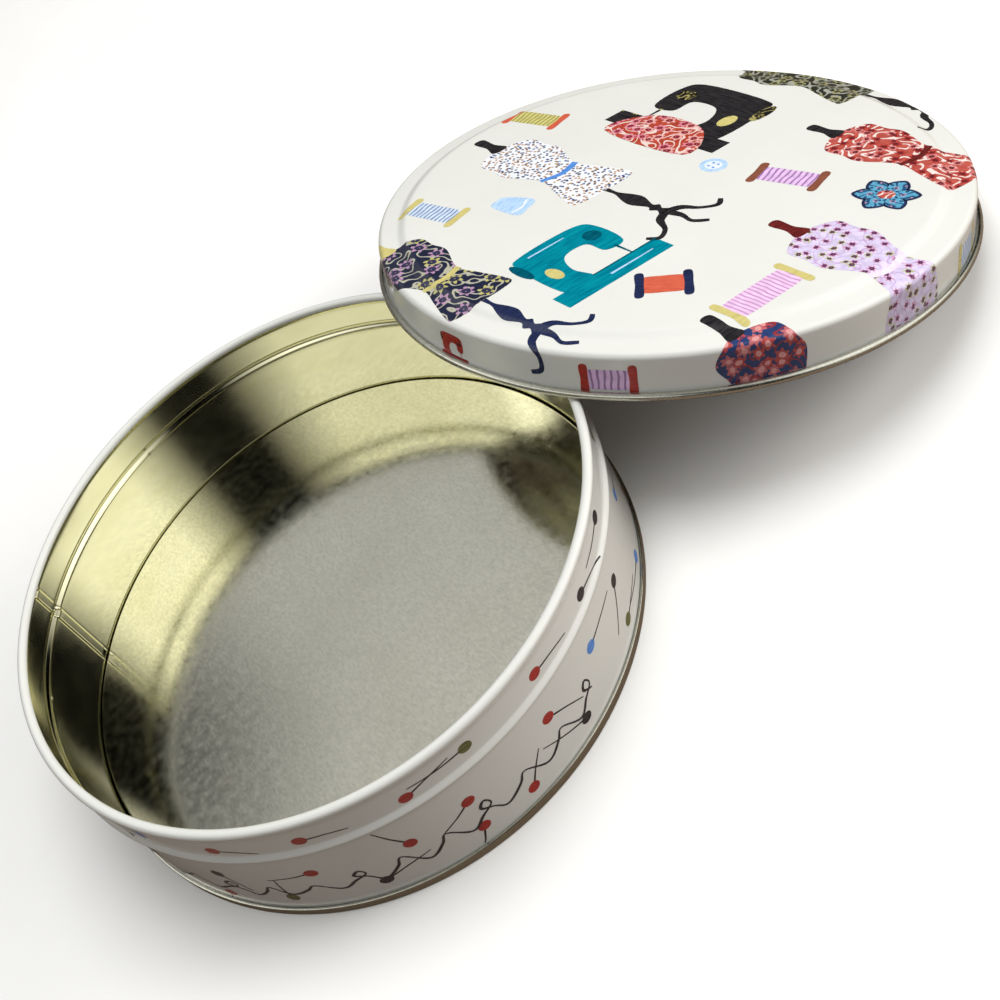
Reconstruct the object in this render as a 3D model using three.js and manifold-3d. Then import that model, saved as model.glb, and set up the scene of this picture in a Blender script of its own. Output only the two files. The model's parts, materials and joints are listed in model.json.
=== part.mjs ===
// Round tinplate box with a slip-on lid. The lid is off and leans on the rim of the open tin.
// Millimetres, +Z up. Both pieces stand on z = 0, and the pair is centred on the origin in plan.
// +X points from the open tin to its lid.
import * as THREE from 'three';
import { mergeVertices } from 'three/addons/utils/BufferGeometryUtils.js';
import Module from 'manifold-3d';

// Driving dimensions
const SHEET = 0.3;              // thickness of the tinplate
const GAP = 0.3;                // air left between two pieces that rest on each other
const SEGMENTS = 64;            // facets round the tin and the lid

const RIM_RADIUS = 75;          // outside of the tin's curled rim
const TIN_HEIGHT = 41;          // seam foot to rim
const RIM_CURL = 1.0;           // radius of the rim's inward curl, to the middle of the sheet
const RIM_CURL_END = 255;       // degrees; the curl stops short of the wall
const RIM_FLARE = 2.6;          // the wall leans out to the rim over this height
const WALL_RADIUS = 74.25;      // straight wall, middle of the sheet
const BEAD_RADIUS = 75.15;      // crest of the bead that stops the lid, middle of the sheet
const BEAD_Z = 29.1;            // crest of the bead above the foot
const BEAD_HALF = 1.7;          // half of the bead's height
const WALL_FOOT_Z = 0.8;        // lower edge of the wall, inside the bottom seam

const SIDE_SEAM_ANGLE = 138;    // degrees from +X towards +Y
const SIDE_SEAM_WIDTH = 3.6;
const SIDE_SEAM_DEPTH = 0.5;    // the folded lap stands this far into the tin

const FLOOR_TOP = 5.2;          // upper face of the floor above the foot
const FLOOR_CORNER = 0.5;       // outer radius where the floor turns down
const FOOT_RADIUS = 75.2;       // outside of the bottom seam
const FOOT_HEIGHT = 2.6;
const FOOT_ROUND = 0.24;        // rounding of the bottom seam's edges

const LID_CURL = 0.85;          // radius of the lid's curl, to the middle of the sheet
const LID_CURL_END = 465;       // degrees; the curl stops short of the skirt
const LID_SKIRT_RADIUS = 75.5;  // skirt of the lid, middle of the sheet
const LID_SHOULDER_TOP = 12.0;  // upper face of the shoulder, above the edge of the curl
const LID_CORNER = 1.4;         // radius from the shoulder to the skirt, middle of the sheet
const SHOULDER_FALL = 0.25;     // the shoulder slopes this far down towards its edge
const PANEL_RISE = 1.1;         // the panel stands this far above the shoulder
const PANEL_RADIUS = 67.4;      // where the flat of the panel ends
const PANEL_STEP = 3.2;         // width of the soft step from the panel down to the shoulder

const LID_TILT = 16.74;         // degrees from level, high side over the tin
const LID_OFFSET = 128.32;      // centre of the lid's opening from the tin's axis

// Worked-out sizes
const HALF = SHEET / 2;
const rimCentre = { r: RIM_RADIUS - HALF - RIM_CURL, z: TIN_HEIGHT - HALF - RIM_CURL };
const lidCurlCentre = { r: LID_SKIRT_RADIUS + LID_CURL, z: HALF + LID_CURL };
const tilt = THREE.MathUtils.degToRad(LID_TILT);
const lidCurlOutside = LID_CURL + HALF;
// The lowest point of the leaning curl touches z = 0.
const lidLift = lidCurlCentre.r * Math.sin(tilt) - lidCurlCentre.z * Math.cos(tilt) + lidCurlOutside;
const lidCornerCentre = {
  r: LID_SKIRT_RADIUS - LID_CORNER,
  z: LID_SHOULDER_TOP - HALF - SHOULDER_FALL - LID_CORNER,
};
// The corner on the low side is the lid's furthest point from the tin's axis.
const lidReach = LID_OFFSET + lidCornerCentre.r * Math.cos(tilt)
  + lidCornerCentre.z * Math.sin(tilt) + LID_CORNER + HALF;
const tinX = (BEAD_RADIUS + HALF - lidReach) / 2;

const paintedTin = new THREE.MeshStandardMaterial({
  name: 'cream_lacquer', color: 0xe9e6df, roughness: 0.3, metalness: 0.1,
});
const bareTin = new THREE.MeshStandardMaterial({
  name: 'bare_tinplate', color: 0xb9bab4, roughness: 0.32, metalness: 0.9,
});

// Points on a circle in the (radius, height) plane, angles in degrees.
function arc(centre, radius, from, to, steps) {
  return Array.from({ length: steps + 1 }, (_, i) => {
    const angle = THREE.MathUtils.degToRad(from + (to - from) * i / steps);
    return new THREE.Vector2(centre.r + radius * Math.cos(angle), centre.z + radius * Math.sin(angle));
  });
}

// The middle line of a sheet, moved sideways by half its thickness.
function offsetLine(line, distance) {
  return line.map((point, i) => {
    const before = line[Math.max(i - 1, 0)];
    const after = line[Math.min(i + 1, line.length - 1)];
    const into = point.clone().sub(before).normalize();
    const out = after.clone().sub(point).normalize();
    const along = into.clone().add(out).normalize();
    const stretch = Math.max(i > 0 && i < line.length - 1 ? along.dot(out) : 1, 0.5);
    return new THREE.Vector2(point.x - along.y * distance / stretch, point.y + along.x * distance / stretch);
  });
}

// A closed outline round a sheet of constant thickness.
function sheetOutline(line) {
  return [...offsetLine(line, -HALF), ...offsetLine(line, HALF).reverse()];
}

// Turns an outline round the Z axis. The outline closes on itself or starts and ends on the axis.
function revolve(outline) {
  const onAxis = outline[0].x < 1e-6;
  const points = onAxis ? outline : [...outline, outline[0].clone()];
  return new THREE.LatheGeometry(points, SEGMENTS).rotateX(Math.PI / 2);
}

const wasm = await Module();
wasm.setup();

function toSolid(geometry) {
  const bare = geometry.clone();
  bare.deleteAttribute('normal');
  bare.deleteAttribute('uv');
  const merged = mergeVertices(bare, 1e-4);
  return new wasm.Manifold(new wasm.Mesh({
    numProp: 3,
    vertProperties: Float32Array.from(merged.attributes.position.array),
    triVerts: Uint32Array.from(merged.index.array),
  }));
}

function toGeometry(solid) {
  const mesh = solid.getMesh();
  const geometry = new THREE.BufferGeometry();
  geometry.setAttribute('position', new THREE.BufferAttribute(Float32Array.from(mesh.vertProperties), 3));
  geometry.setIndex(new THREE.BufferAttribute(Uint32Array.from(mesh.triVerts), 1));
  geometry.computeVertexNormals();
  return geometry;
}

// Middle of the wall's sheet at a height: straight, with a bead, flared out to meet the rim.
function wallRadiusAt(z) {
  const t = THREE.MathUtils.clamp((z - BEAD_Z) / BEAD_HALF, -1, 1);
  const crest = (1 + Math.cos(Math.PI * t)) / 2;
  const flare = THREE.MathUtils.smoothstep(z, rimCentre.z - RIM_FLARE, rimCentre.z);
  const top = THREE.MathUtils.lerp(WALL_RADIUS, rimCentre.r + RIM_CURL, flare);
  return THREE.MathUtils.lerp(top, BEAD_RADIUS, crest);
}

function wallLine(fromZ, toZ) {
  const beadSteps = 8;
  const beadHeights = Array.from({ length: beadSteps + 1 },
    (_, i) => BEAD_Z + BEAD_HALF * (2 * i / beadSteps - 1));
  const flareHeights = [rimCentre.z - RIM_FLARE, rimCentre.z - RIM_FLARE / 2, rimCentre.z];
  const heights = [fromZ, ...beadHeights, ...flareHeights].filter((z) => z <= toZ);
  return heights.map((z) => new THREE.Vector2(wallRadiusAt(z), z));
}

// The lap of the side seam: a strip on the inside of the wall that follows the bead.
function sideSeamLap() {
  const clearOfFloor = FLOOR_TOP + GAP + SHEET;
  const line = wallLine(clearOfFloor, rimCentre.z - RIM_FLARE);
  const outer = line.map((point) => point.clone());
  const inner = line.map((point) => new THREE.Vector2(point.x - HALF - SIDE_SEAM_DEPTH, point.y));
  const lap = new THREE.ExtrudeGeometry(new THREE.Shape([...outer, ...inner.reverse()]), {
    depth: SIDE_SEAM_WIDTH, bevelEnabled: false,
  });
  return lap
    .translate(0, 0, -SIDE_SEAM_WIDTH / 2)
    .rotateX(Math.PI / 2)
    .rotateZ(THREE.MathUtils.degToRad(SIDE_SEAM_ANGLE));
}

function bodyWall() {
  const rim = arc(rimCentre, RIM_CURL, 0, RIM_CURL_END, 8).slice(1);
  const shell = revolve(sheetOutline([...wallLine(WALL_FOOT_Z, rimCentre.z), ...rim]));
  const solid = toSolid(shell).add(toSolid(sideSeamLap()));
  return new THREE.Mesh(toGeometry(solid), paintedTin);
}

// The bottom end: a floor that stands above the foot, and the folded seam that grips the wall.
function bottomEnd() {
  const chuckOuter = WALL_RADIUS - HALF - GAP;
  const chuckInner = chuckOuter - SHEET;
  const hookInner = WALL_RADIUS + HALF + GAP;
  const floorUnder = FLOOR_TOP - SHEET;
  const channelFloor = WALL_FOOT_Z - GAP;
  const corner = (radius) => ({ r: radius - FLOOR_CORNER, z: FLOOR_TOP - FLOOR_CORNER });
  const footArc = (r, z, from) => arc({ r, z }, FOOT_ROUND, from, from + 90, 3);
  const outline = [
    new THREE.Vector2(0, floorUnder),
    ...arc(corner(chuckOuter), FLOOR_CORNER - SHEET, 90, 0, 3),
    ...footArc(chuckInner + FOOT_ROUND, FOOT_ROUND, 180),
    ...footArc(FOOT_RADIUS - FOOT_ROUND, FOOT_ROUND, 270),
    ...footArc(FOOT_RADIUS - FOOT_ROUND, FOOT_HEIGHT - FOOT_ROUND, 0),
    new THREE.Vector2(hookInner, FOOT_HEIGHT),
    new THREE.Vector2(hookInner, channelFloor),
    new THREE.Vector2(chuckOuter, channelFloor),
    ...arc(corner(chuckOuter), FLOOR_CORNER, 0, 90, 3),
    new THREE.Vector2(0, FLOOR_TOP),
  ];
  return new THREE.Mesh(revolve(outline), bareTin);
}

// The lid in its own frame: the edge of its curl is at z = 0 and its panel faces +Z.
function lid() {
  const shoulder = LID_SHOULDER_TOP - HALF;
  const panel = shoulder + PANEL_RISE;
  const stepSteps = 4;
  const step = Array.from({ length: stepSteps + 1 }, (_, i) => {
    const t = i / stepSteps;
    const z = THREE.MathUtils.lerp(shoulder, panel, (1 + Math.cos(Math.PI * t)) / 2);
    return new THREE.Vector2(PANEL_RADIUS + PANEL_STEP * t, z);
  });
  const line = [
    new THREE.Vector2(0, panel),
    ...step,
    ...arc(lidCornerCentre, LID_CORNER, 90, 0, 4),
    ...arc(lidCurlCentre, LID_CURL, 180, LID_CURL_END, 8),
  ];
  const mesh = new THREE.Mesh(revolve(sheetOutline(line)), paintedTin);
  mesh.rotation.y = tilt;
  mesh.position.set(LID_OFFSET, 0, lidLift);
  return mesh;
}

const pieces = { body_wall: bodyWall(), bottom_end: bottomEnd(), lid: lid() };
const tin = new THREE.Group();
tin.position.x = tinX;
for (const [name, mesh] of Object.entries(pieces)) {
  mesh.name = name;
  tin.add(mesh);
}
export default tin;
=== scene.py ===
"""Looks of a round sewing tin, open, with its lid leaning on the rim. The print is generic sewing notions."""

import json
import math
import random

import bpy
from mathutils import Matrix, Vector
from mathutils.geometry import delaunay_2d_cdt


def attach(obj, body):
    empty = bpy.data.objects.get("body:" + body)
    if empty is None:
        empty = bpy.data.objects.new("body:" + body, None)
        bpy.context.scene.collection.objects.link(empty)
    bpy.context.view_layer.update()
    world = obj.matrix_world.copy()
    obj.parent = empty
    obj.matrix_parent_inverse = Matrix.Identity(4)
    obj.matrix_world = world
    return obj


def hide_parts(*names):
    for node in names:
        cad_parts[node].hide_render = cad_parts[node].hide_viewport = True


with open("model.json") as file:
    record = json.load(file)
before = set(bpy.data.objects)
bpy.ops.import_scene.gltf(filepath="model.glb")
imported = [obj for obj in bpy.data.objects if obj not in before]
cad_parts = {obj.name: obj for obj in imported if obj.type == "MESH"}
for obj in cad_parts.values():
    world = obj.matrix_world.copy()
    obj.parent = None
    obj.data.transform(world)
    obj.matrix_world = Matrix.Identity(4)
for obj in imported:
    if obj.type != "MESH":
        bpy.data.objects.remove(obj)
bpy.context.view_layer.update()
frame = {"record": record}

MM = 0.001
SHEET = 0.3
HALF = SHEET / 2

# Tin wall and rim, in mm, middle of the sheet
RIM_CENTRE = (73.85, 39.85)
RIM_CURL = 1.0
RIM_CURL_END = 255
RIM_FLARE = 2.6
WALL_RADIUS = 74.25
WALL_FOOT = 0.8
BEAD_RADIUS = 75.15
BEAD_Z = 29.1
BEAD_HALF = 1.7

# Side seam: width and height of its folded lap
SEAM_ANGLE = 138
SEAM_HALF_WIDTH = 1.8
SEAM_DEPTH = 0.5
SEAM_STEP = 0.2

# Bottom end
FLOOR_TOP = 5.2
FLOOR_CORNER = 0.5
CHUCK_OUTER = 73.8
CHUCK_INNER = 73.5
HOOK_INNER = 74.7
FOOT_RADIUS = 75.2
FOOT_HEIGHT = 2.6
FOOT_ROUND = 0.24
CHANNEL_FLOOR = 0.5

# Lid, heights above the edge of its curl
LID_CURL = 0.85
LID_CURL_CENTRE = (76.35, 1.0)
LID_CURL_END = 465
LID_CORNER = 1.4
LID_CORNER_CENTRE = (74.1, 10.2)
LID_SHOULDER = 11.85
LID_PANEL = 12.95
PANEL_RADIUS = 67.4
PANEL_STEP = 3.2

PRINT_LIFT = 0.02
PRINT_LEVEL = 0.014
TURNS = 320                 # facets round each revolved piece
COARSE_GRID = 1.2
FINE_GRID = 0.32


# ---------------------------------------------------------------- profiles

def arc(centre, radius, start, end, steps):
    """Points on a circle in the (radius, height) plane, angles in degrees."""
    angles = (math.radians(start + (end - start) * i / steps) for i in range(steps + 1))
    return [(centre[0] + radius * math.cos(a), centre[1] + radius * math.sin(a)) for a in angles]


def offset(line, distance):
    """A polyline moved to its left by a distance."""
    moved = []
    for i, (r, z) in enumerate(line):
        before, after = line[max(i - 1, 0)], line[min(i + 1, len(line) - 1)]
        dr, dz = after[0] - before[0], after[1] - before[1]
        length = math.hypot(dr, dz)
        moved.append((r - dz / length * distance, z + dr / length * distance))
    return moved


def smooth(t):
    t = min(max(t, 0), 1)
    return t * t * (3 - 2 * t)


def wall_radius(z):
    """Middle of the wall's sheet at a height: straight, with a bead, flared out to meet the rim."""
    t = min(max((z - BEAD_Z) / BEAD_HALF, -1), 1)
    crest = (1 + math.cos(math.pi * t)) / 2
    flare = smooth((z - RIM_CENTRE[1] + RIM_FLARE) / RIM_FLARE)
    top = WALL_RADIUS + (RIM_CENTRE[0] + RIM_CURL - WALL_RADIUS) * flare
    return top + (BEAD_RADIUS - top) * crest


def span(start, end, step):
    count = max(round(abs(end - start) / step), 1)
    return [start + (end - start) * i / count for i in range(count + 1)]


def wall_line():
    heights = (span(WALL_FOOT, FLOOR_TOP, 1.1)[:-1] + span(FLOOR_TOP, BEAD_Z - BEAD_HALF, 1.5)[:-1]
               + span(BEAD_Z - BEAD_HALF, BEAD_Z + BEAD_HALF, 0.14)[:-1]
               + span(BEAD_Z + BEAD_HALF, RIM_CENTRE[1] - RIM_FLARE, 1)[:-1]
               + span(RIM_CENTRE[1] - RIM_FLARE, RIM_CENTRE[1], 0.3))
    return [(wall_radius(z), z) for z in heights] + arc(RIM_CENTRE, RIM_CURL, 0, RIM_CURL_END, 28)[1:]


def lid_line():
    step = []
    for r in span(PANEL_RADIUS, PANEL_RADIUS + PANEL_STEP, 0.25):
        t = (r - PANEL_RADIUS) / PANEL_STEP
        step.append((r, LID_SHOULDER + (LID_PANEL - LID_SHOULDER) * (1 + math.cos(math.pi * t)) / 2))
    rings = [(r, LID_PANEL) for r in (0.0, 3, 10, 20, 30, 40, 50, 58, 63, 66)]
    shoulder = [(r, LID_SHOULDER) for r in (71.4, 72.4, 73.2)]
    slope = 0.25 / 3.5
    shoulder = [(r, z - slope * (r - PANEL_RADIUS - PANEL_STEP)) for r, z in shoulder]
    corner = arc(LID_CORNER_CENTRE, LID_CORNER, 88, 0, 14)
    skirt = [(LID_CURL_CENTRE[0] - LID_CURL, z) for z in (8.6, 7, 5.4, 3.8, 2.4, 1.4)]
    return rings + step + shoulder + corner + skirt + arc(LID_CURL_CENTRE, LID_CURL, 180, LID_CURL_END, 34)


# ---------------------------------------------------------------- meshes

def make_object(name, points, faces, materials=(), face_materials=None, matrix=None, sharp=40, prints=None):
    """Points in mm. Only points that a face uses are kept. prints gives each point's place on its motif."""
    used = sorted({i for face in faces for i in face})
    renumbered = {old: new for new, old in enumerate(used)}
    mesh = bpy.data.meshes.new(name)
    faces = [[renumbered[i] for i in face] for face in faces]
    mesh.from_pydata([Vector(points[i]) * MM for i in used], [], faces)
    if prints:
        attribute = mesh.attributes.new("print_mm", "FLOAT_VECTOR", "POINT")
        attribute.data.foreach_set("vector", [c for i in used for c in prints[i]])
    for material in materials:
        mesh.materials.append(material)
    if face_materials:
        mesh.polygons.foreach_set("material_index", face_materials)
    mesh.polygons.foreach_set("use_smooth", [True] * len(mesh.polygons))
    mesh.set_sharp_from_angle(angle=math.radians(sharp))
    mesh.validate()
    obj = bpy.data.objects.new(name, mesh)
    bpy.context.scene.collection.objects.link(obj)
    if matrix:
        obj.matrix_world = matrix
    return obj


def revolve(name, outline, sides, angles, materials, matrix, shift=None):
    """Turns a closed outline round Z. sides gives each outline point's material index."""
    count, turns = len(outline), len(angles)
    points = []
    for angle in angles:
        for (r, z), side in zip(outline, sides):
            moved = r + (shift(angle, r, z, side) if shift and r > 1 else 0)
            points.append((moved * math.cos(angle), moved * math.sin(angle), z))
    faces, indices = [], []
    for i in range(turns):
        j = (i + 1) % turns
        for k in range(count):
            n = (k + 1) % count
            if outline[k][0] < 1e-6 and outline[n][0] < 1e-6:
                continue
            face = [i * count + k, j * count + k, j * count + n, i * count + n]
            if outline[k][0] < 1e-6:
                face = [k, face[2], face[3]]
            elif outline[n][0] < 1e-6:
                face = [face[0], face[1], n]
            faces.append(face)
            indices.append(max(sides[k], sides[n]) if sides[k] != sides[n] else sides[k])
    return make_object(name, points, faces, materials, indices, matrix)


def even_angles(count):
    return [2 * math.pi * i / count for i in range(count)]


# ---------------------------------------------------------------- materials

class Shader:
    """One material's nodes, made by short calls. Object coordinates are in mm."""

    def __init__(self, name):
        self.material = bpy.data.materials.new(name)
        self.material.use_nodes = True
        self.tree = self.material.node_tree
        self.tree.nodes.clear()

    def node(self, kind, inputs=None, **settings):
        node = self.tree.nodes.new("ShaderNode" + kind)
        for key, value in settings.items():
            setattr(node, key, value)
        for key, value in (inputs or {}).items():
            if isinstance(value, bpy.types.NodeSocket):
                self.tree.links.new(value, node.inputs[key])
            else:
                node.inputs[key].default_value = value
        return node

    def maths(self, operation, a, b=0.0, c=0.0):
        return self.node("Math", {0: a, 1: b, 2: c}, operation=operation).outputs[0]

    def place(self):
        coordinates = self.node("TexCoord").outputs["Object"]
        return self.node("VectorMath", {0: coordinates, "Scale": 1 / MM}, operation="SCALE").outputs[0]

    def printed_place(self):
        return self.node("Attribute", attribute_name="print_mm").outputs["Vector"]

    def stretch(self, vector, scale):
        return self.node("VectorMath", {0: vector, 1: scale}, operation="MULTIPLY").outputs[0]

    def noise(self, vector, scale, detail=3.0, distortion=0.0):
        inputs = {"Vector": vector, "Scale": scale, "Detail": detail, "Distortion": distortion}
        return self.node("TexNoise", inputs).outputs[0]

    def remap(self, value, low, high, new_low=0.0, new_high=1.0):
        inputs = {"Value": value, "From Min": low, "From Max": high, "To Min": new_low, "To Max": new_high}
        return self.node("MapRange", inputs).outputs[0]

    def mix(self, factor, a, b):
        node = self.node("Mix", {0: factor}, data_type="RGBA")
        for key, value in ((6, a), (7, b)):
            if isinstance(value, bpy.types.NodeSocket):
                self.tree.links.new(value, node.inputs[key])
            else:
                node.inputs[key].default_value = (*value, 1)
        return node.outputs[2]

    def bump(self, height, distance, strength=1.0):
        inputs = {"Height": height, "Distance": distance * MM, "Strength": strength}
        return self.node("Bump", inputs).outputs[0]

    def finish(self, **inputs):
        names = {"colour": "Base Color", "rough": "Roughness", "metal": "Metallic", "normal": "Normal",
                 "coat": "Coat Weight", "coat_rough": "Coat Roughness",
                 "specular": "Specular IOR Level"}
        values = {}
        for key, value in inputs.items():
            values[names[key]] = (*value, 1) if isinstance(value, tuple) else value
        principled = self.node("BsdfPrincipled", values)
        self.node("OutputMaterial", {"Surface": principled.outputs[0]})
        return self.material


def cream_print():
    """Cream lacquer over tinplate: faint mottle, orange peel, a little dulling."""
    s = Shader("cream_lacquer")
    place = s.place()
    mottle = s.noise(place, 0.06, 4)
    colour = s.mix(s.remap(mottle, 0.3, 0.7), (0.69, 0.70, 0.67), (0.71, 0.72, 0.69))
    specks = s.noise(place, 2.3, 2)
    colour = s.mix(s.remap(specks, 0.74, 0.8, 0, 0.25), colour, (0.55, 0.52, 0.46))
    peel = s.noise(place, 0.9, 2)
    rough = s.remap(s.noise(place, 0.25, 4), 0.3, 0.7, 0.22, 0.27)
    return s.finish(colour=colour, rough=rough, metal=0.0, coat=0.5, coat_rough=0.1,
                    normal=s.bump(peel, 0.003))


def gold_lacquer():
    """The clear gold lacquer inside the tin: bright metal under a yellow film."""
    s = Shader("gold_lacquer")
    place = s.place()
    film = s.noise(s.stretch(place, (1, 1, 2.5)), 0.05, 4, 0.6)
    colour = s.mix(s.remap(film, 0.3, 0.7), (0.90, 0.865, 0.555), (0.93, 0.905, 0.62))
    grain = s.noise(s.stretch(place, (1, 1, 4)), 0.35, 2)
    rough = s.remap(s.noise(place, 0.12, 5), 0.3, 0.7, 0.09, 0.15)
    return s.finish(colour=colour, rough=rough, metal=1.0, coat=0.15, coat_rough=0.2,
                    normal=s.bump(grain, 0.003))


def stone_tinplate(name, tone=1.0, rough_low=0.16, rough_high=0.3, sparkle=0.02):
    """Bare tinplate with a fine crystalline grain."""
    s = Shader(name)
    place = s.place()
    broad = s.noise(place, 0.05, 3)
    low, high = tuple(tone * c for c in (0.66, 0.655, 0.56)), tuple(tone * c for c in (0.72, 0.715, 0.62))
    colour = s.mix(s.remap(broad, 0.3, 0.7), low, high)
    grain = s.noise(s.stretch(place, (1.5, 0.7, 1)), 1.1, 4, 0.4)
    colour = s.mix(s.remap(grain, 0.35, 0.7, 0, 0.55), colour, tuple(tone * c for c in (0.48, 0.48, 0.41)))
    rough = s.remap(s.noise(place, 0.4, 4), 0.3, 0.7, rough_low, rough_high)
    return s.finish(colour=colour, rough=rough, metal=1.0, normal=s.bump(grain, sparkle))


def ink(name, colour, second=None, streak=(1, 6), amount=1.0, gloss=0.28):
    """A plain printed colour with the uneven cover of a brush."""
    s = Shader(name)
    place = s.printed_place()
    second = second or tuple(c * 0.72 for c in colour)
    brushed = s.noise(s.stretch(place, (*streak, 1)), 0.28, 4, 0.5)
    mixed = s.mix(s.remap(brushed, 0.35, 0.68, 0, amount), colour, second)
    peel = s.noise(s.place(), 0.9, 2)
    rough = s.remap(brushed, 0.3, 0.7, gloss - 0.04, gloss + 0.05)
    return s.finish(colour=mixed, rough=rough, metal=0.0, coat=0.25, coat_rough=0.1,
                    normal=s.bump(peel, 0.004))


def thread_ink(name, colour, line, pitch):
    """Printed thread: wavering lines across a spool."""
    s = Shader(name)
    place = s.printed_place()
    inputs = {"Vector": place, "Scale": 0.314 / pitch, "Distortion": 3.0, "Detail": 2.0, "Detail Scale": 0.8}
    wave = s.node("TexWave", inputs, bands_direction="X").outputs[1]
    pale = tuple(min(c * 1.25, 0.9) for c in colour)
    wash = s.mix(s.remap(s.noise(place, 0.35, 3), 0.35, 0.65), colour, pale)
    mixed = s.mix(s.remap(wave, 0.62, 0.85), wash, line)
    return s.finish(colour=mixed, rough=0.3, metal=0.0, coat=0.25, coat_rough=0.1,
                    normal=s.bump(s.noise(s.place(), 0.9, 2), 0.004))


def floral_ink(name, ground, petals, scroll, flower=4.2, cover=0.36, scroll_cover=0.6):
    """A printed cloth pattern: rosettes of two colours on a ground with scrolling stems."""
    s = Shader(name)
    place = s.printed_place()
    warp = s.node("TexNoise", {"Vector": place, "Scale": 0.3, "Detail": 2.0}).outputs[1]
    moved = s.node("VectorMath", {0: warp, 1: (1.6, 1.6, 0), 2: place}, operation="MULTIPLY_ADD").outputs[0]
    cells = s.node("TexVoronoi", {"Vector": moved, "Scale": 1 / flower, "Randomness": 0.75},
                   voronoi_dimensions="2D")
    out = s.node("VectorMath", {0: moved, 1: cells.outputs["Position"]}, operation="SUBTRACT").outputs[0]
    parts = s.node("SeparateXYZ", {0: out})
    turn = s.maths("ARCTAN2", parts.outputs[1], parts.outputs[0])
    reach = s.node("VectorMath", {0: out}, operation="LENGTH").outputs[1]
    petal = s.maths("MULTIPLY_ADD", s.maths("COSINE", s.maths("MULTIPLY", turn, 6.0)), 0.09 * flower,
                    cover * flower)
    inside = s.remap(s.maths("SUBTRACT", petal, reach), 0, 0.12)
    rings = s.maths("SINE", s.maths("MULTIPLY", reach, 14.0 / flower))
    pick = s.node("SeparateColor", {0: cells.outputs["Color"]}).outputs[0]
    flowers = s.mix(s.remap(pick, 0.49, 0.51), petals[0], petals[1])
    flowers = s.mix(s.remap(rings, 0.2, 0.5), flowers, petals[2])
    contours = s.maths("SINE", s.maths("MULTIPLY", s.noise(place, 0.13, 1.0), 48.0))
    stems = s.remap(contours, scroll_cover, scroll_cover + 0.12)
    mottle = s.mix(s.remap(s.noise(place, 0.5, 3), 0.4, 0.6, 0, 0.5), ground, tuple(0.6 * c for c in ground))
    mixed = s.mix(inside, s.mix(stems, mottle, scroll), flowers)
    return s.finish(colour=mixed, rough=0.28, metal=0.0, coat=0.25, coat_rough=0.1,
                    normal=s.bump(s.noise(s.place(), 0.9, 2), 0.004))


def speckle_ink(name, ground, dots, cell=1.0):
    """Close printed flecks of three colours."""
    s = Shader(name)
    place = s.printed_place()
    cells = s.node("TexVoronoi", {"Vector": place, "Scale": 1 / cell}, voronoi_dimensions="2D")
    pick = s.node("SeparateColor", {0: cells.outputs["Color"]})
    dot = s.mix(s.remap(pick.outputs[0], 0.33, 0.34), dots[0], dots[1])
    dot = s.mix(s.remap(pick.outputs[1], 0.64, 0.65), dot, dots[2])
    near = s.remap(cells.outputs["Distance"], 0.4, 0.33)
    shown = s.maths("MULTIPLY", near, s.remap(pick.outputs[2], 0.22, 0.24))
    return s.finish(colour=s.mix(shown, ground, dot), rough=0.28, metal=0.0, coat=0.25, coat_rough=0.1,
                    normal=s.bump(s.noise(s.place(), 0.9, 2), 0.004))


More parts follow.
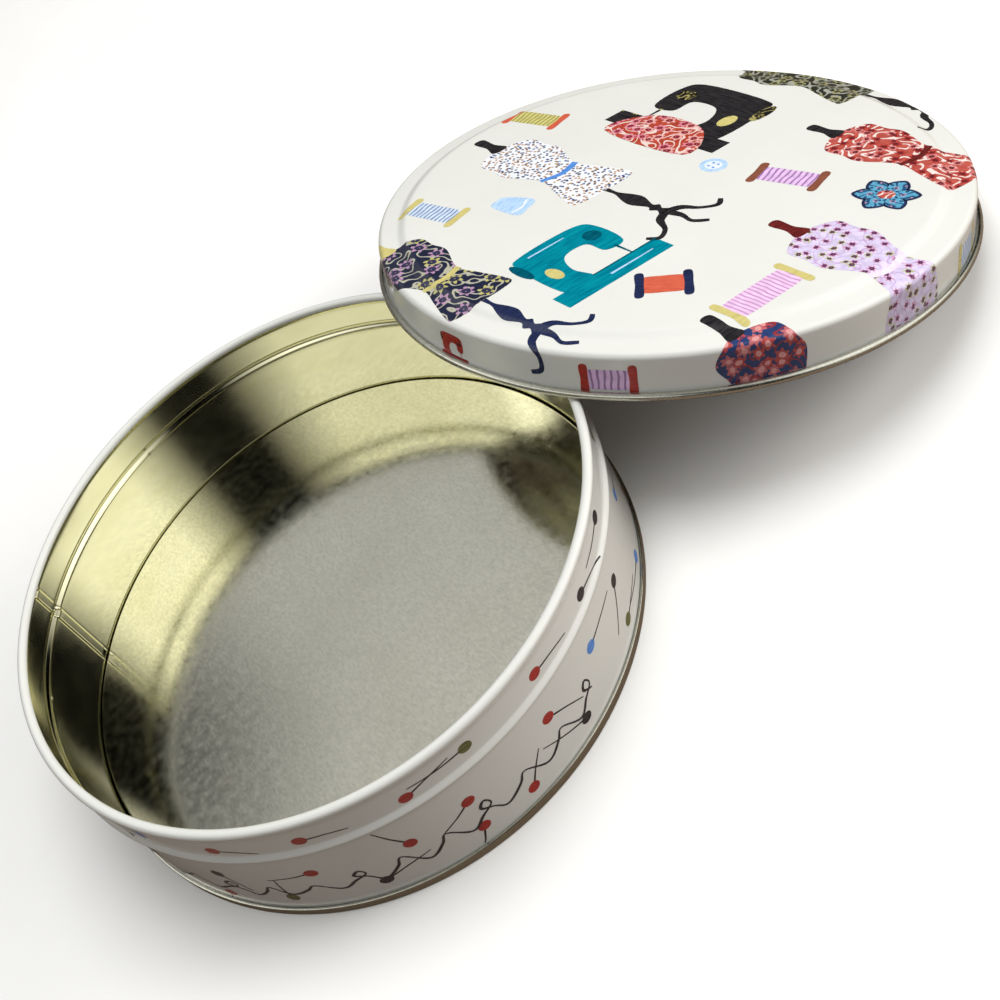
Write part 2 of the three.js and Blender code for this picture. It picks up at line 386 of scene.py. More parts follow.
INKS = {
    "black": ink("ink_black", (0.012, 0.011, 0.014), (0.03, 0.028, 0.03)),
    "navy": ink("ink_navy", (0.012, 0.018, 0.055), (0.02, 0.03, 0.09)),
    "teal": ink("ink_teal", (0.0, 0.16, 0.24), (0.0, 0.26, 0.33), (0.5, 3)),
    "deep_teal": ink("ink_deep_teal", (0.0, 0.06, 0.10), (0.0, 0.11, 0.16)),
    "sky": ink("ink_sky", (0.33, 0.52, 0.80), (0.52, 0.68, 0.88)),
    "blue": ink("ink_blue", (0.07, 0.2, 0.58), (0.1, 0.28, 0.66)),
    "red": ink("ink_red", (0.42, 0.03, 0.022), (0.30, 0.02, 0.02), (0.7, 3)),
    "coral": ink("ink_coral", (0.62, 0.13, 0.07), (0.5, 0.08, 0.05)),
    "maroon": ink("ink_maroon", (0.09, 0.012, 0.012), (0.16, 0.02, 0.018)),
    "brown": ink("ink_brown", (0.26, 0.09, 0.05), (0.17, 0.06, 0.04)),
    "olive": ink("ink_olive", (0.09, 0.10, 0.03), (0.14, 0.15, 0.05)),
    "straw": ink("ink_straw", (0.62, 0.55, 0.22), (0.48, 0.42, 0.14)),
    "lavender": ink("ink_lavender", (0.68, 0.58, 0.84), (0.76, 0.69, 0.88), (1, 1)),
    "pale_blue": ink("ink_pale_blue", (0.66, 0.73, 0.88), (0.74, 0.79, 0.9), (1, 1)),
    "white": ink("ink_white", (0.8, 0.82, 0.86), (0.72, 0.76, 0.84), (1, 1)),
    "lilac_thread": thread_ink("ink_lilac_thread", (0.62, 0.42, 0.66), (0.28, 0.15, 0.36), 1.5),
    "pink_thread": thread_ink("ink_pink_thread", (0.68, 0.46, 0.66), (0.48, 0.26, 0.5), 1.3),
    "straw_thread": thread_ink("ink_straw_thread", (0.52, 0.47, 0.17), (0.24, 0.24, 0.07), 1.4),
    "blue_thread": thread_ink("ink_blue_thread", (0.5, 0.6, 0.74), (0.12, 0.17, 0.34), 1.3),
    "dark_floral": floral_ink("cloth_dark", (0.018, 0.022, 0.05),
                              ((0.42, 0.25, 0.4), (0.46, 0.43, 0.16), (0.03, 0.03, 0.07)), (0.42, 0.41, 0.33),
                              6.0, 0.3, 0.72),
    "red_floral": floral_ink("cloth_red", (0.44, 0.06, 0.035),
                             ((0.62, 0.22, 0.28), (0.7, 0.36, 0.34), (0.22, 0.02, 0.03)),
                             (0.72, 0.6, 0.55), 3.8,
                             0.38, 0.72),
    "rose_floral": floral_ink("cloth_rose", (0.48, 0.09, 0.07),
                              ((0.34, 0.035, 0.03), (0.58, 0.2, 0.2), (0.12, 0.015, 0.02)),
                              (0.74, 0.66, 0.62), 3.2,
                              0.4, 0.55),
    "navy_floral": floral_ink("cloth_navy", (0.025, 0.05, 0.16),
                              ((0.40, 0.06, 0.06), (0.46, 0.13, 0.14), (0.66, 0.3, 0.3)),
                              (0.26, 0.03, 0.035), 3.6,
                              0.42, 0.8),
    "lilac_floral": floral_ink("cloth_lilac", (0.68, 0.60, 0.84),
                               ((0.52, 0.2, 0.34), (0.44, 0.48, 0.17), (0.1, 0.03, 0.09)),
                               (0.5, 0.36, 0.58), 3.0,
                               0.3, 0.86),
    "blue_floral": floral_ink("cloth_blue", (0.10, 0.34, 0.52),
                              ((0.5, 0.3, 0.42), (0.12, 0.4, 0.6), (0.02, 0.06, 0.14)),
                              (0.02, 0.07, 0.16), 2.2),
    "green_floral": floral_ink("cloth_green", (0.03, 0.032, 0.022),
                               ((0.3, 0.29, 0.14), (0.2, 0.21, 0.16), (0.04, 0.04, 0.03)),
                               (0.34, 0.34, 0.3), 4.0),
    "speckle": speckle_ink("cloth_speckle", (0.76, 0.79, 0.86),
                           ((0.03, 0.06, 0.2), (0.40, 0.23, 0.1), (0.10, 0.10, 0.13))),
    "gold_scroll": floral_ink("machine_scroll", (0.012, 0.011, 0.012),
                              ((0.3, 0.26, 0.08), (0.2, 0.17, 0.05), (0.03, 0.03, 0.02)),
                              (0.36, 0.32, 0.12), 3.4,
                              0.3, 0.8),
}


# ---------------------------------------------------------------- outlines of the printed motifs, in mm

def curve(points, closed, steps=6):
    """A smooth line through the points."""
    out, n = [], len(points)
    for i in range(n if closed else n - 1):
        if closed:
            p = [points[(i + k - 1) % n] for k in range(4)]
        else:
            p = [points[min(max(i + k - 1, 0), n - 1)] for k in range(4)]
        for s in range(steps):
            t = s / steps
            out.append(tuple(0.5 * (2 * p[1][a] + (p[2][a] - p[0][a]) * t
                                    + (2 * p[0][a] - 5 * p[1][a] + 4 * p[2][a] - p[3][a]) * t * t
                                    + (3 * p[1][a] - p[0][a] - 3 * p[2][a] + p[3][a]) * t ** 3)
                             for a in (0, 1)))
    if not closed:
        out.append(tuple(points[-1]))
    return out


def blob(*points):
    return curve(points, True)


def oval(x, y, width, height, steps=20):
    return [(x + width / 2 * math.cos(a), y + height / 2 * math.sin(a)) for a in even_angles(steps)]


def stroke(points, width, end_width=None, wobble=0.0, steps=6):
    """The outline of a brush stroke that may taper."""
    line = curve(points, False, steps)
    end_width = width if end_width is None else end_width
    left, right = [], []
    for i, (x, y) in enumerate(line):
        before, after = line[max(i - 1, 0)], line[min(i + 1, len(line) - 1)]
        dx, dy = after[0] - before[0], after[1] - before[1]
        length = math.hypot(dx, dy) or 1
        t = i / (len(line) - 1)
        half = (width + (end_width - width) * t) / 2 * (1 + wobble * math.sin(9 * t))
        left.append((x - dy / length * half, y + dx / length * half))
        right.append((x + dy / length * half, y - dx / length * half))
    return left + right[::-1]


class Sheet:
    """A printed face. Print coordinates in mm become points on the metal."""

    def __init__(self, name, body, slot, matrix, surface, inside, bent):
        self.name, self.body, self.slot, self.matrix = name, body, slot, matrix
        self.surface, self.inside, self.bent = surface, inside, bent
        self.layers = {}

    def add(self, place, ink_name, outline, level=0):
        xs, ys = [p[0] for p in outline], [p[1] for p in outline]
        turned = list(outline[1:]) + [outline[0]]
        if sum(x * ny - nx * y for (x, y), (nx, ny) in zip(outline, turned)) < 0:
            outline = outline[::-1]
        size = math.dist(place(0, 0), place(1, 0))

        def grid_at(x, y):
            return (FINE_GRID if self.bent(*place(x, y)) else COARSE_GRID) / size

        border = []
        for i, (x, y) in enumerate(outline):
            nx, ny = outline[(i + 1) % len(outline)]
            step = min(grid_at(x, y), grid_at(nx, ny))
            count = max(math.ceil(math.hypot(nx - x, ny - y) / step), 1)
            border += [(x + (nx - x) * k / count, y + (ny - y) * k / count) for k in range(count)]
        edges = [(i, (i + 1) % len(border)) for i in range(len(border))]
        grid = []
        for step in (COARSE_GRID / size, FINE_GRID / size):
            across, upward = span(min(xs), max(xs), step)[1:-1], span(min(ys), max(ys), step)[1:-1]
            grid += [(x, y) for x in across for y in upward if grid_at(x, y) == step]
        flat, _, faces, _, _, owners = delaunay_2d_cdt(
            [Vector(p) for p in border + grid], edges, [list(range(len(border)))], 0, 1e-5, True)
        faces = [face for face, owner in zip(faces, owners) if owner]
        points, normals = [], []
        for p in flat:
            point, normal = self.surface(*self.inside(*place(p.x, p.y)))
            points.append(point + normal * (PRINT_LIFT + PRINT_LEVEL * level))
            normals.append(normal)
        layer = self.layers.setdefault(ink_name, ([], [], []))
        start = len(layer[0])
        for a, b, c in faces:
            way = (points[b] - points[a]).cross(points[c] - points[a])
            if way.length < 1e-7:
                continue
            order = (a, b, c) if way.dot(normals[a]) > 0 else (c, b, a)
            layer[1].append([start + i for i in order])
        layer[0].extend(points)
        layer[2].extend((p.x, p.y, 0) for p in flat)

    def build(self):
        for ink_name, (points, faces, locals_) in self.layers.items():
            obj = make_object(f"{self.name}_{ink_name}", points, faces, [INKS[ink_name]], None, self.matrix,
                              60, locals_)
            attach(obj, self.body)


def at(x, y, turn=0, size=1.0, mirror=False):
    """Places a motif: its origin, its turn in degrees and its size."""
    cos, sin = math.cos(math.radians(turn)) * size, math.sin(math.radians(turn)) * size
    side = -1 if mirror else 1
    return lambda u, v: (x + u * side * cos - v * sin, y + u * side * sin + v * cos)


def form(sheet, place, cloth, neck, stand=None, ribbon=None):
    """A plain dressmaker's form, standing on its origin, about 40 tall."""
    half = [(2.4, 39.5), (8.8, 36.5), (9.0, 31), (9.6, 26), (5.8, 17), (7.6, 10), (9.8, 3), (9.2, 0)]
    sheet.add(place, cloth, blob(*half, (0, -0.8), *[(-x, y) for x, y in reversed(half)]))
    sheet.add(place, neck, blob((2.4, 39), (1.4, 43), (1.6, 48), (-1.6, 48), (-1.4, 43), (-2.4, 39)), 1)
    if ribbon:
        sheet.add(place, ribbon, stroke([(-6, 16.4), (0, 15), (6, 16.6)], 1.4, 1.8), 1)
    if stand:
        tripod(sheet, lambda u, v: place(u, v - 1), stand)


def tripod(sheet, place, colour):
    """A turned post with three curled feet, hanging from its origin."""
    post = [(0.7, 0.6), (0.6, -3), (2.0, -7), (2.3, -10), (0.8, -14), (1.7, -15.4), (0.8, -17), (1.6, -18.5),
            (0.6, -20)]
    sheet.add(place, colour, blob(*post, *[(-x, y) for x, y in reversed(post)]))
    for foot in ([(0, -19), (3.4, -20.4), (5.6, -24), (8.8, -26.4), (11.4, -25)],
                 [(0, -19), (-3.6, -20.6), (-6, -24.4), (-9.4, -26), (-11.4, -23.8)]):
        sheet.add(place, colour, stroke(foot, 2.0, 1.0, 0.2))
    sheet.add(place, colour, stroke([(0, -19), (0.8, -23), (0.2, -26.6), (2.6, -29.6)], 1.9, 1.0, 0.2), 1)


def machine(sheet, place, body, dark, badge=None, shine=None):
    """A plain sewing machine: a flat bed, a pillar, an arm and a needle head. 34 wide and 27 tall."""
    sheet.add(place, body, [(0, 0), (34, 0), (34, 6), (0, 6)])
    sheet.add(place, body, blob((4, 5), (13, 5), (12, 12), (15, 18), (22, 18), (23, 12), (29, 12), (30, 22),
                                (26, 27), (8, 27), (4, 23)), 1)
    sheet.add(place, dark, oval(3.5, 21, 3, 9), 2)
    sheet.add(place, dark, oval(26, 20, 5, 5), 2)
    sheet.add(place, dark, stroke([(26, 12), (26, 6)], 0.9, 0.4), 2)
    sheet.add(place, dark, stroke([(13, 6), (34, 6)], 0.5), 2)
    if badge:
        sheet.add(place, badge, oval(8, 14, 3.6, 6), 2)
    if shine:
        sheet.add(place, shine, stroke([(16, 3), (30, 3)], 0.7, 0.3), 2)
        sheet.add(place, shine, stroke([(9, 25), (21, 25)], 0.6, 0.3), 2)


def spool(sheet, place, thread, ends, length=16, width=8, end=2.0):
    """A reel of thread lying along its own x, middle on the origin."""
    half = length / 2
    sheet.add(place, thread, blob((-half, -width * 0.4), (0, -width * 0.45), (half, -width * 0.4),
                                  (half + 0.2, 0), (half, width * 0.4), (0, width * 0.45),
                                  (-half, width * 0.4), (-half - 0.2, 0)))
    for side in (-1, 1):
        middle = side * (half + end * 0.3)
        sheet.add(place, ends, blob((middle - end / 2, -width * 0.62), (middle + end / 2, -width * 0.6),
                                    (middle + end * 0.55, 0), (middle + end / 2, width * 0.62),
                                    (middle - end / 2, width * 0.6), (middle - end * 0.45, 0)), 1)


def pin(sheet, place, colour, length, head=2.2, bend=0.0):
    """A dressmaker's pin along its own x, head on the origin."""
    sheet.add(place, "black", stroke([(0.8, 0), (length / 2, bend), (length, 0)], 0.55, 0.32), 0)
    sheet.add(place, colour, oval(0, 0, head, head * 0.92, 16), 1)


# ---------------------------------------------------------------- where the pieces stand

record = frame["record"]
mounts = {m["name"]: m for m in record["mounts"]}
floor_point = Vector(mounts["tin_floor"]["pos_m"])
tin_matrix = Matrix.Translation((floor_point.x, floor_point.y, 0))
lid_axis = Vector(mounts["lid_top"]["axis"])
lid_turn = Vector((0, 0, 1)).rotation_difference(lid_axis).to_matrix().to_4x4()
lid_top = (LID_PANEL + HALF) * MM
to_lid_top = Matrix.Translation(Vector(mounts["lid_top"]["pos_m"]))
lid_matrix = to_lid_top @ lid_turn @ Matrix.Translation((0, 0, -lid_top))


# ---------------------------------------------------------------- the tin

cream = cream_print()
lacquer = gold_lacquer()
floor_plate = stone_tinplate("stone_tinplate", 1.0, 0.1, 0.2, 0.006)
curl_plate = stone_tinplate("curl_tinplate", 0.95, 0.2, 0.3, 0.004)

wall_middle = wall_line()
wall_out, wall_in = offset(wall_middle, -HALF), offset(wall_middle, HALF)
seam_angle = math.radians(SEAM_ANGLE)
LAP_TOP = RIM_CENTRE[1] - 1.6
LAP_FOOT = FLOOR_TOP + 0.35


def lap_height(across):
    """The side seam's cross-section, inwards, by distance from its middle: a step and then the full fold."""
    low = SEAM_STEP * smooth((across + SEAM_HALF_WIDTH) / 0.15) * smooth((-0.95 - across) / 0.15)
    full = SEAM_DEPTH * smooth((across + 0.75) / 0.22) * smooth((SEAM_HALF_WIDTH - across) / 0.28)
    return low + full


def seam_shift(angle, r, z, side):
    across = (angle - seam_angle) * WALL_RADIUS
    if abs(across) > 3 or not LAP_FOOT - 0.4 < z < RIM_CENTRE[1]:
        return 0
    flat_at_bead = 1 - 0.45 * math.exp(-((z - BEAD_Z) / 1.0) ** 2)
    if side == 1 and r < WALL_RADIUS + 1.2:
        fade = smooth((z - LAP_FOOT + 0.3) / 0.3) * smooth((LAP_TOP - z) / 0.8)
        return -lap_height(across) * fade * flat_at_bead
    if side == 0 and z < RIM_CENTRE[1] - 0.4:
        return -0.22 * math.exp(-(across / 0.3) ** 2) * smooth((RIM_CENTRE[1] - 0.6 - z) / 0.8)
    return 0


seam_half_angle = 2.4 / WALL_RADIUS
wall_angles = [a for a in even_angles(TURNS) if abs(a - seam_angle) > seam_half_angle + 0.004]
wall_angles += span(seam_angle - seam_half_angle, seam_angle + seam_half_angle, 0.12 / WALL_RADIUS)
wall_angles.sort()
wall = revolve("tin_wall", wall_out + wall_in[::-1], [0] * len(wall_out) + [1] * len(wall_in), wall_angles,
               [cream, lacquer], tin_matrix, seam_shift)
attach(wall, "tin")
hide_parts("body_wall")


DIMPLES = ((97, 27.7), (138, 29.0), (158, 27.4))    # angle and height of each
DIMPLE_RADIUS = 0.62
DIMPLE_DEPTH = 0.36


def weld_spots():
    """Small dimples pressed into the bead, seen from inside the tin."""
    points, faces = [], []
    rings, turns = 5, 12
    for degrees, z in DIMPLES:
        angle = math.radians(degrees)
        out = Vector((math.cos(angle), math.sin(angle), 0))
        across, up = Vector((-math.sin(angle), math.cos(angle), 0)), Vector((0, 0, 1))
        depth = SEAM_DEPTH * 0.6 if degrees == SEAM_ANGLE else 0
        centre = out * (wall_radius(z) - HALF - depth + 0.05) + up * z
        start = len(points)
        points.append(centre - out * DIMPLE_DEPTH)
        for i in range(1, rings + 1):
            lean = math.pi / 2 * i / rings
            for k in range(turns):
                turn = 2 * math.pi * k / turns
                points.append(centre - out * DIMPLE_DEPTH * math.cos(lean)
                              + (across * math.cos(turn) + up * math.sin(turn)) * DIMPLE_RADIUS * math.sin(lean))
        for k in range(turns):
            n = (k + 1) % turns
            faces.append([start, start + 1 + n, start + 1 + k])
            for i in range(rings - 1):
                a, b = start + 1 + i * turns, start + 1 + (i + 1) * turns
                faces.append([a + k, a + n, b + n, b + k])
    return make_object("weld_spots", points, faces, [lacquer], None, tin_matrix)


spots = weld_spots()
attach(spots, "tin")

floor_under = FLOOR_TOP - SHEET
corner_centre = (CHUCK_OUTER - FLOOR_CORNER, FLOOR_TOP - FLOOR_CORNER)
bottom_outline = (
    [(0.0, floor_under)] + [(r, floor_under) for r in (20, 40, 60)]
    + arc(corner_centre, FLOOR_CORNER - SHEET, 90, 0, 8)
    + arc((CHUCK_INNER + FOOT_ROUND, FOOT_ROUND), FOOT_ROUND, 180, 270, 6)
    + arc((FOOT_RADIUS - FOOT_ROUND, FOOT_ROUND), FOOT_ROUND, 270, 360, 6)
    + arc((FOOT_RADIUS - FOOT_ROUND, FOOT_HEIGHT - FOOT_ROUND), FOOT_ROUND, 0, 90, 6)
    + [(HOOK_INNER, FOOT_HEIGHT), (HOOK_INNER, CHANNEL_FLOOR), (CHUCK_OUTER, CHANNEL_FLOOR)]
    + arc(corner_centre, FLOOR_CORNER, 0, 90, 10)
    + [(r, FLOOR_TOP) for r in (60, 40, 20)] + [(0.0, FLOOR_TOP)])
bottom = revolve("tin_bottom", bottom_outline, [0] * len(bottom_outline), even_angles(TURNS),
                 [floor_plate], tin_matrix)
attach(bottom, "tin")
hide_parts("bottom_end")

lid_middle = lid_line()
lid_out, lid_in = offset(lid_middle, HALF), offset(lid_middle, -HALF)
lid_out[0], lid_in[0] = (0.0, LID_PANEL + HALF), (0.0, LID_PANEL - HALF)
lid = revolve("lid_shell", lid_in + lid_out[::-1], [1] * len(lid_in) + [0] * len(lid_out), even_angles(TURNS),
              [cream, curl_plate], lid_matrix)
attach(lid, "lid")
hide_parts("lid")


# ---------------------------------------------------------------- the print

lid_face = [p for p in lid_out if p[0] < LID_CURL_CENTRE[0] and p[1] > LID_CURL_CENTRE[1]]
last_skirt = next(i for i, p in enumerate(lid_face) if p[1] < 1.5)
lid_face = lid_face[:last_skirt + 1]
face_length = [0.0]
for a, b in zip(lid_face, lid_face[1:]):
    face_length.append(face_length[-1] + math.dist(a, b))


def along_lid(distance):
    """Radius, height and outward normal at a distance from the lid's middle, measured over its face."""
    i = max(k for k in range(len(face_length) - 1) if face_length[k] <= distance or k == 0)
    (r0, z0), (r1, z1) = lid_face[i], lid_face[i + 1]
    length = face_length[i + 1] - face_length[i]
    t = (distance - face_length[i]) / length
    return r0 + (r1 - r0) * t, z0 + (z1 - z0) * t, -(z1 - z0) / length, (r1 - r0) / length


def lid_surface(x, y):
    distance, angle = math.hypot(x, y), math.atan2(y, x)
    r, z, out, up = along_lid(distance)
    cos, sin = math.cos(angle), math.sin(angle)
    return Vector((r * cos, r * sin, z)), Vector((out * cos, out * sin, up)).normalized()


PRINT_EDGE = face_length[-1] - 0.3


def on_lid(x, y):
    distance = math.hypot(x, y)
    shrink = min(PRINT_EDGE / distance, 1) if distance else 1
    return x * shrink, y * shrink


def wall_surface(a, z):
    angle = a / WALL_RADIUS
    slope = (wall_radius(z + 0.05) - wall_radius(z - 0.05)) / 0.1
    r = wall_radius(z) + HALF / math.cos(math.atan(slope))
    normal = Vector((math.cos(angle), math.sin(angle), -slope)).normalized()
    return Vector((r * math.cos(angle), r * math.sin(angle), z)), normal


def on_wall(a, z):
    return a, min(max(z, FOOT_HEIGHT + 0.1), RIM_CENTRE[1] - 0.2)


def lid_bent(x, y):
    return PANEL_RADIUS - 0.6 < math.hypot(x, y) < PANEL_RADIUS + 12


def wall_bent(_, z):
    return abs(z - BEAD_Z) < BEAD_HALF + 0.4


lid_print = Sheet("lid_print", "lid", "printed_tinplate", lid_matrix, lid_surface, on_lid, lid_bent)
wall_print = Sheet("wall_print", "tin", "printed_tinplate", tin_matrix, wall_surface, on_wall, wall_bent)


def at_skirt(angle, height, size=1.0):
    """Places a motif upright on the lid's skirt: u runs round it and v up it."""
    foot = face_length[-1] + lid_face[-1][1]

    def place(u, v):
        turn = math.radians(angle) + u * size / LID_CURL_CENTRE[0]
        distance = foot - height - v * size
        return distance * math.cos(turn), distance * math.sin(turn)
    return place


def at_wall(angle, height, turn=0, size=1.0):
    return at(math.radians(angle) * WALL_RADIUS, height, turn, size)


# Motifs stand on a 5 mm grid and lean by steps of 15 degrees.
FORMS = (  # foot x and y, turn, size, cloth, neck, stand, ribbon
    (-10, 10, 0, 1.1, "speckle", "black", "black", "blue"),
    (-65, -5, 0, 1.0, "dark_floral", "straw", "navy", "straw"),
    (45, -60, 0, 1.0, "rose_floral", "black", None, "maroon"),
    (0, -85, 0, 1.0, "lilac_floral", "maroon", None, "lavender"),
    (-40, -100, 0, 1.0, "navy_floral", "black", None, None),
    (70, -10, 0, 1.0, "green_floral", "black", "black", None))

REELS = (  # x, y, turn, length, thread, ends
    (20, -25, -75, 15, "lilac_thread", "brown"), (-35, -35, -45, 10, "coral", "navy"),
    (-25, -55, 0, 20, "pink_thread", "straw"), (10, 60, -75, 15, "straw_thread", "coral"),
    (-45, 40, -75, 15, "blue_thread", "straw"))


def flower(sheet, x, y):
    for k in range(6):
        petal = at(x, y, 60 * k)
        sheet.add(petal, "navy", blob((0.2, 0), (4.6, 2.9), (8, 0), (4.6, -2.9)), 1)
        sheet.add(petal, "blue_floral", blob((0.8, 0), (4.4, 2.2), (7.2, 0), (4.4, -2.2)), 2)
    sheet.add(at(x, y), "rose_floral", oval(0, 0, 4.2, 4.2), 3)


def button(sheet, x, y):
    place = at(x, y)
    sheet.add(place, "sky", oval(0, 0, 7.4, 7.4))
    sheet.add(place, "pale_blue", oval(0, 0, 4.6, 4.6), 1)
    for u in (-1, 1):
        for v in (-0.8, 0.8):
            sheet.add(place, "blue", oval(u, v, 0.8, 0.8, 10), 2)


def thimble(sheet, x, y, turn):
    place = at(x, y, turn)
    sheet.add(place, "sky", blob((-4.4, -4.8), (0, -5.6), (4.6, -4.4), (3, 3.6), (0, 5), (-3, 4)))
    sheet.add(place, "white", stroke([(-3.8, -2.8), (0, -3.6), (3.9, -2.6)], 0.6), 1)


def print_lid():
    """Generic sewing notions, loosely spread over the lid."""
    s = lid_print
    for x, y, turn, size, cloth, neck, stand, ribbon in FORMS:
        form(s, at(x, y, turn, size), cloth, neck, stand, ribbon)
    machine(s, at(-55, -25), "teal", "deep_teal", "straw", "sky")
    dark_machine = at(20, 0, -90, 1.2, True)
    machine(s, dark_machine, "black", "gold_scroll", "straw")
    s.add(dark_machine, "red_floral", blob((5, -4), (10, 8), (25, 8), (30, -4)), 3)
    for x, y, turn, length, thread, ends in REELS:
        spool(s, at(x, y, turn), thread, ends, length)
    button(s, 15, -5)
    flower(s, 25, -50)
    thimble(s, -30, 25, 15)
    machine(s, at_skirt(180, 0.8, 0.28), "red", "maroon")
    for angle, thread, ends in ((-145, "lilac_thread", "red"), (-70, "blue_thread", "straw"),
                                (35, "straw_thread", "brown"), (110, "blue_thread", "coral")):
        spool(s, at_skirt(angle, 5), thread, ends, 10, 6, 1.8)


PIN_ROWS = ((7, 180), (19, 180), (34, 15))    # height on the wall, most the stem leans from level
PIN_SPACING = 15
PIN_HEAD = 3.3
PIN_COLOURS = ("blue", "red", "black", "olive")


def print_wall():
    """Pins strewn in staggered rows, and a loose thread between them."""
    rng = random.Random(7)
    for row, (height, lean) in enumerate(PIN_ROWS):
        for step in range(360 // PIN_SPACING):
            angle = (step + row / len(PIN_ROWS)) * PIN_SPACING + rng.uniform(-3, 3)
            turn = rng.uniform(-lean, lean) + rng.choice((0, 180))
            place = at_wall(angle, height + rng.uniform(-1.5, 1.5), turn)
            pin(wall_print, place, rng.choice(PIN_COLOURS), rng.uniform(9, 14), PIN_HEAD, 0.25)
    loose_thread(-160, -75, 11.5, 3)
    loose_thread(20, 100, 13.5, 9)


def loose_thread(start, end, height, seed):
    """A thread that wanders round the wall in long waves, with a small loop on every third crest."""
    rng = random.Random(seed)
    u, points, wave = math.radians(start) * WALL_RADIUS, [], 0
    last = math.radians(end) * WALL_RADIUS
    while u < last:
        rise, pace = rng.uniform(1.6, 2.8), rng.uniform(3.2, 4.6)
        points += [(u, height - rise), (u + pace, height)]
        if wave % 3 == 1:
            points += [(u + 1.9 * pace, height + rise * 0.9), (u + 1.6 * pace, height + rise * 1.9),
                       (u + 1.2 * pace, height + rise * 1.1), (u + 1.9 * pace, height + rise * 0.2)]
        else:
            points += [(u + 1.5 * pace, height + rise)]
        u += 2.7 * pace
        wave += 1
    line = curve(points, False, 6)
    for k in range(0, len(line) - 1, 3):
        part = line[k:k + 4]
        if len(part) > 1:
            wall_print.add(at(0, 0), "black", stroke(part, 0.6 + 0.2 * math.sin(k * 0.35),
                                                     0.6 + 0.2 * math.sin((k + 3) * 0.35), 0, 1), 2 + k % 2)


print_lid()
print_wall()
lid_print.build()
wall_print.build()


# ---------------------------------------------------------------- table, light and camera

def table_top():
    """A pale table that throws little light back, as if flagged."""
    s = Shader("table")
    place = s.place()
    pale = s.mix(s.remap(s.noise(place, 0.02, 3), 0.3, 0.7), (0.90, 0.90, 0.895), (0.93, 0.93, 0.925))
    seen = s.node("LightPath").outputs["Is Camera Ray"]
    colour = s.mix(seen, (0.20, 0.15, 0.115), pale)
    return s.finish(colour=colour, rough=0.7, metal=0.0, specular=0.1,
                    normal=s.bump(s.noise(place, 1.5, 2), 0.01))


TABLE_SIZE = 3000
TABLE_DROP = 0.03           # keeps the table clear of the faces that stand on it
table_sides = ((-1, -1), (1, -1), (1, 1), (-1, 1))
table_corners = [(x * TABLE_SIZE, y * TABLE_SIZE, -TABLE_DROP) for x, y in table_sides]
table = make_object("table", table_corners, [[0, 1, 2, 3]], [table_top()])

RING_EDGES = ((0.42, 0.56), (0.75, 0.80))   # sines of the heights where one ring gives way to the next
SOFT_PANELS = (  # azimuth, half width, soft edge, brightness in the low, middle and high ring
    (175, 45, 30, (0.15, 1.2, 0.4)),
    (-40, 20, 25, (1.3, 1.6, 0.6)),
    (100, 35, 12, (0.15, 0.6, 0.7)))
CEILING = 0.4
FLAG_AIM = (102, 46)        # azimuth and elevation of a small dark flag
FLAG_DEPTH = 0.85
FLAG_RADII = (9, 2)


def studio_light():
    world = bpy.data.worlds.new("studio")
    world.use_nodes = True
    bpy.context.scene.world = world
    tree = world.node_tree
    tree.nodes.clear()
    builder = Shader.__new__(Shader)
    builder.tree = tree
    way = builder.node("TexCoord").outputs["Generated"]
    parts = builder.node("SeparateXYZ", {0: way})
    azimuth = builder.maths("ARCTAN2", parts.outputs[1], parts.outputs[0])

    def ring(index):
        total = 0.0
        for aim, half, soft, levels in SOFT_PANELS:
            away = builder.maths("SUBTRACT", azimuth, math.radians(aim))
            away = builder.maths("ABSOLUTE", builder.maths("WRAP", away, math.pi, -math.pi))
            lit = builder.remap(away, math.radians(half + soft), math.radians(half))
            total = builder.maths("MULTIPLY_ADD", lit, levels[index], total)
        return total

    def blend(factor, a, b):
        return builder.maths("MULTIPLY_ADD", factor, builder.maths("SUBTRACT", b, a), a)

    around = blend(builder.remap(parts.outputs[2], *RING_EDGES[0]), ring(0), ring(1))
    around = blend(builder.remap(parts.outputs[2], *RING_EDGES[1]), around, ring(2))
    flag_azimuth, flag_elevation = (math.radians(a) for a in FLAG_AIM)
    flag_way = (math.cos(flag_elevation) * math.cos(flag_azimuth),
                math.cos(flag_elevation) * math.sin(flag_azimuth), math.sin(flag_elevation))
    toward = builder.node("VectorMath", {0: way, 1: flag_way}, operation="DOT_PRODUCT").outputs["Value"]
    shade = builder.remap(toward, *(math.cos(math.radians(a)) for a in FLAG_RADII), 1, 1 - FLAG_DEPTH)
    around = builder.maths("MULTIPLY", around, shade)
    level = blend(builder.remap(parts.outputs[2], 0.9, 0.96), around, CEILING)
    background = builder.node("Background", {"Color": (1.0, 0.99, 0.975, 1), "Strength": level})
    builder.node("OutputWorld", {"Surface": background.outputs[0]})


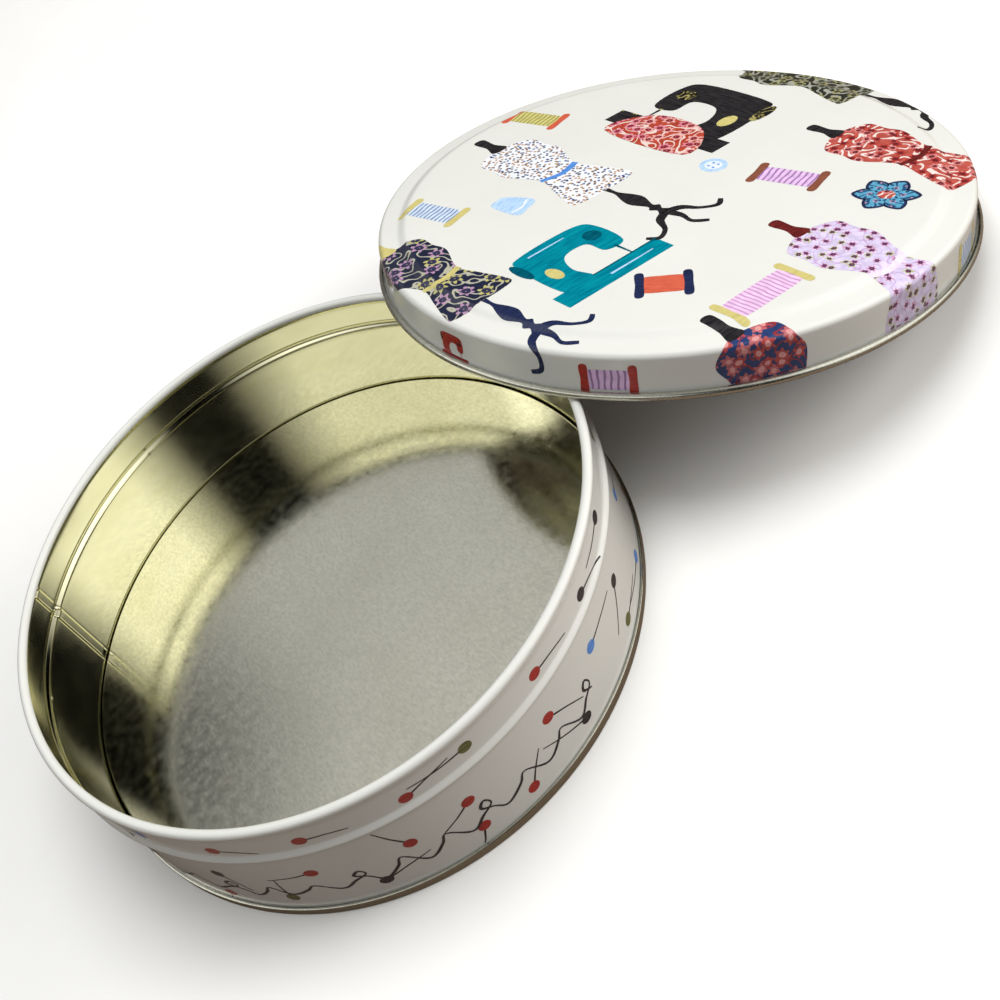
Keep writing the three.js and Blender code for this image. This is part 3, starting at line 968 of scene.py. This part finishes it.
def softbox(name, azimuth, elevation, distance, size, power, colour):
    """A large lamp aimed at the tin that bare metal doesn't mirror."""
    data = bpy.data.lights.new(name, "AREA")
    data.shape, data.size, data.energy, data.color = "DISK", size, power, colour
    obj = bpy.data.objects.new(name, data)
    a, e = math.radians(azimuth), math.radians(elevation)
    way = Vector((math.cos(e) * math.cos(a), math.cos(e) * math.sin(a), math.sin(e)))
    obj.location = way * distance
    obj.rotation_euler = way.to_track_quat("Z", "Y").to_euler()
    obj.visible_glossy = False
    bpy.context.scene.collection.objects.link(obj)


CAMERA_LENS = 44.91
CAMERA_SENSOR = 36
CAMERA_SHIFT = (0.1264, -0.1415)
CAMERA_TURN = (-106.23, 39.68, 33.13)   # azimuth, elevation and roll in degrees
CAMERA_AIM = (-10.52, 45.12, 20)        # mm
CAMERA_DISTANCE = 353.1                 # mm


def camera():
    data = bpy.data.cameras.new("camera")
    data.lens, data.sensor_width = CAMERA_LENS, CAMERA_SENSOR
    data.shift_x, data.shift_y = CAMERA_SHIFT
    data.clip_start, data.clip_end = 0.01, 20
    azimuth, elevation, roll = (math.radians(a) for a in CAMERA_TURN)
    back = Vector((math.cos(elevation) * math.cos(azimuth), math.cos(elevation) * math.sin(azimuth),
                   math.sin(elevation)))
    level = Vector((0, 0, 1)).cross(back).normalized()
    upright = back.cross(level)
    right = level * math.cos(roll) - upright * math.sin(roll)
    up = level * math.sin(roll) + upright * math.cos(roll)
    obj = bpy.data.objects.new("camera", data)
    place = (Vector(CAMERA_AIM) + back * CAMERA_DISTANCE) * MM
    obj.matrix_world = Matrix.Translation(place) @ Matrix((right, up, back)).transposed().to_4x4()
    bpy.context.scene.collection.objects.link(obj)
    bpy.context.scene.camera = obj


studio_light()
softbox("overhead", 20, 78, 1.2, 0.8, 9.0, (1.0, 1.0, 0.985))
softbox("side", -28, 20, 1.0, 0.5, 6.0, (1.0, 0.955, 0.9))
camera()
bpy.context.scene.view_settings.view_transform = "Standard"
bpy.context.scene.cycles.use_denoising = True
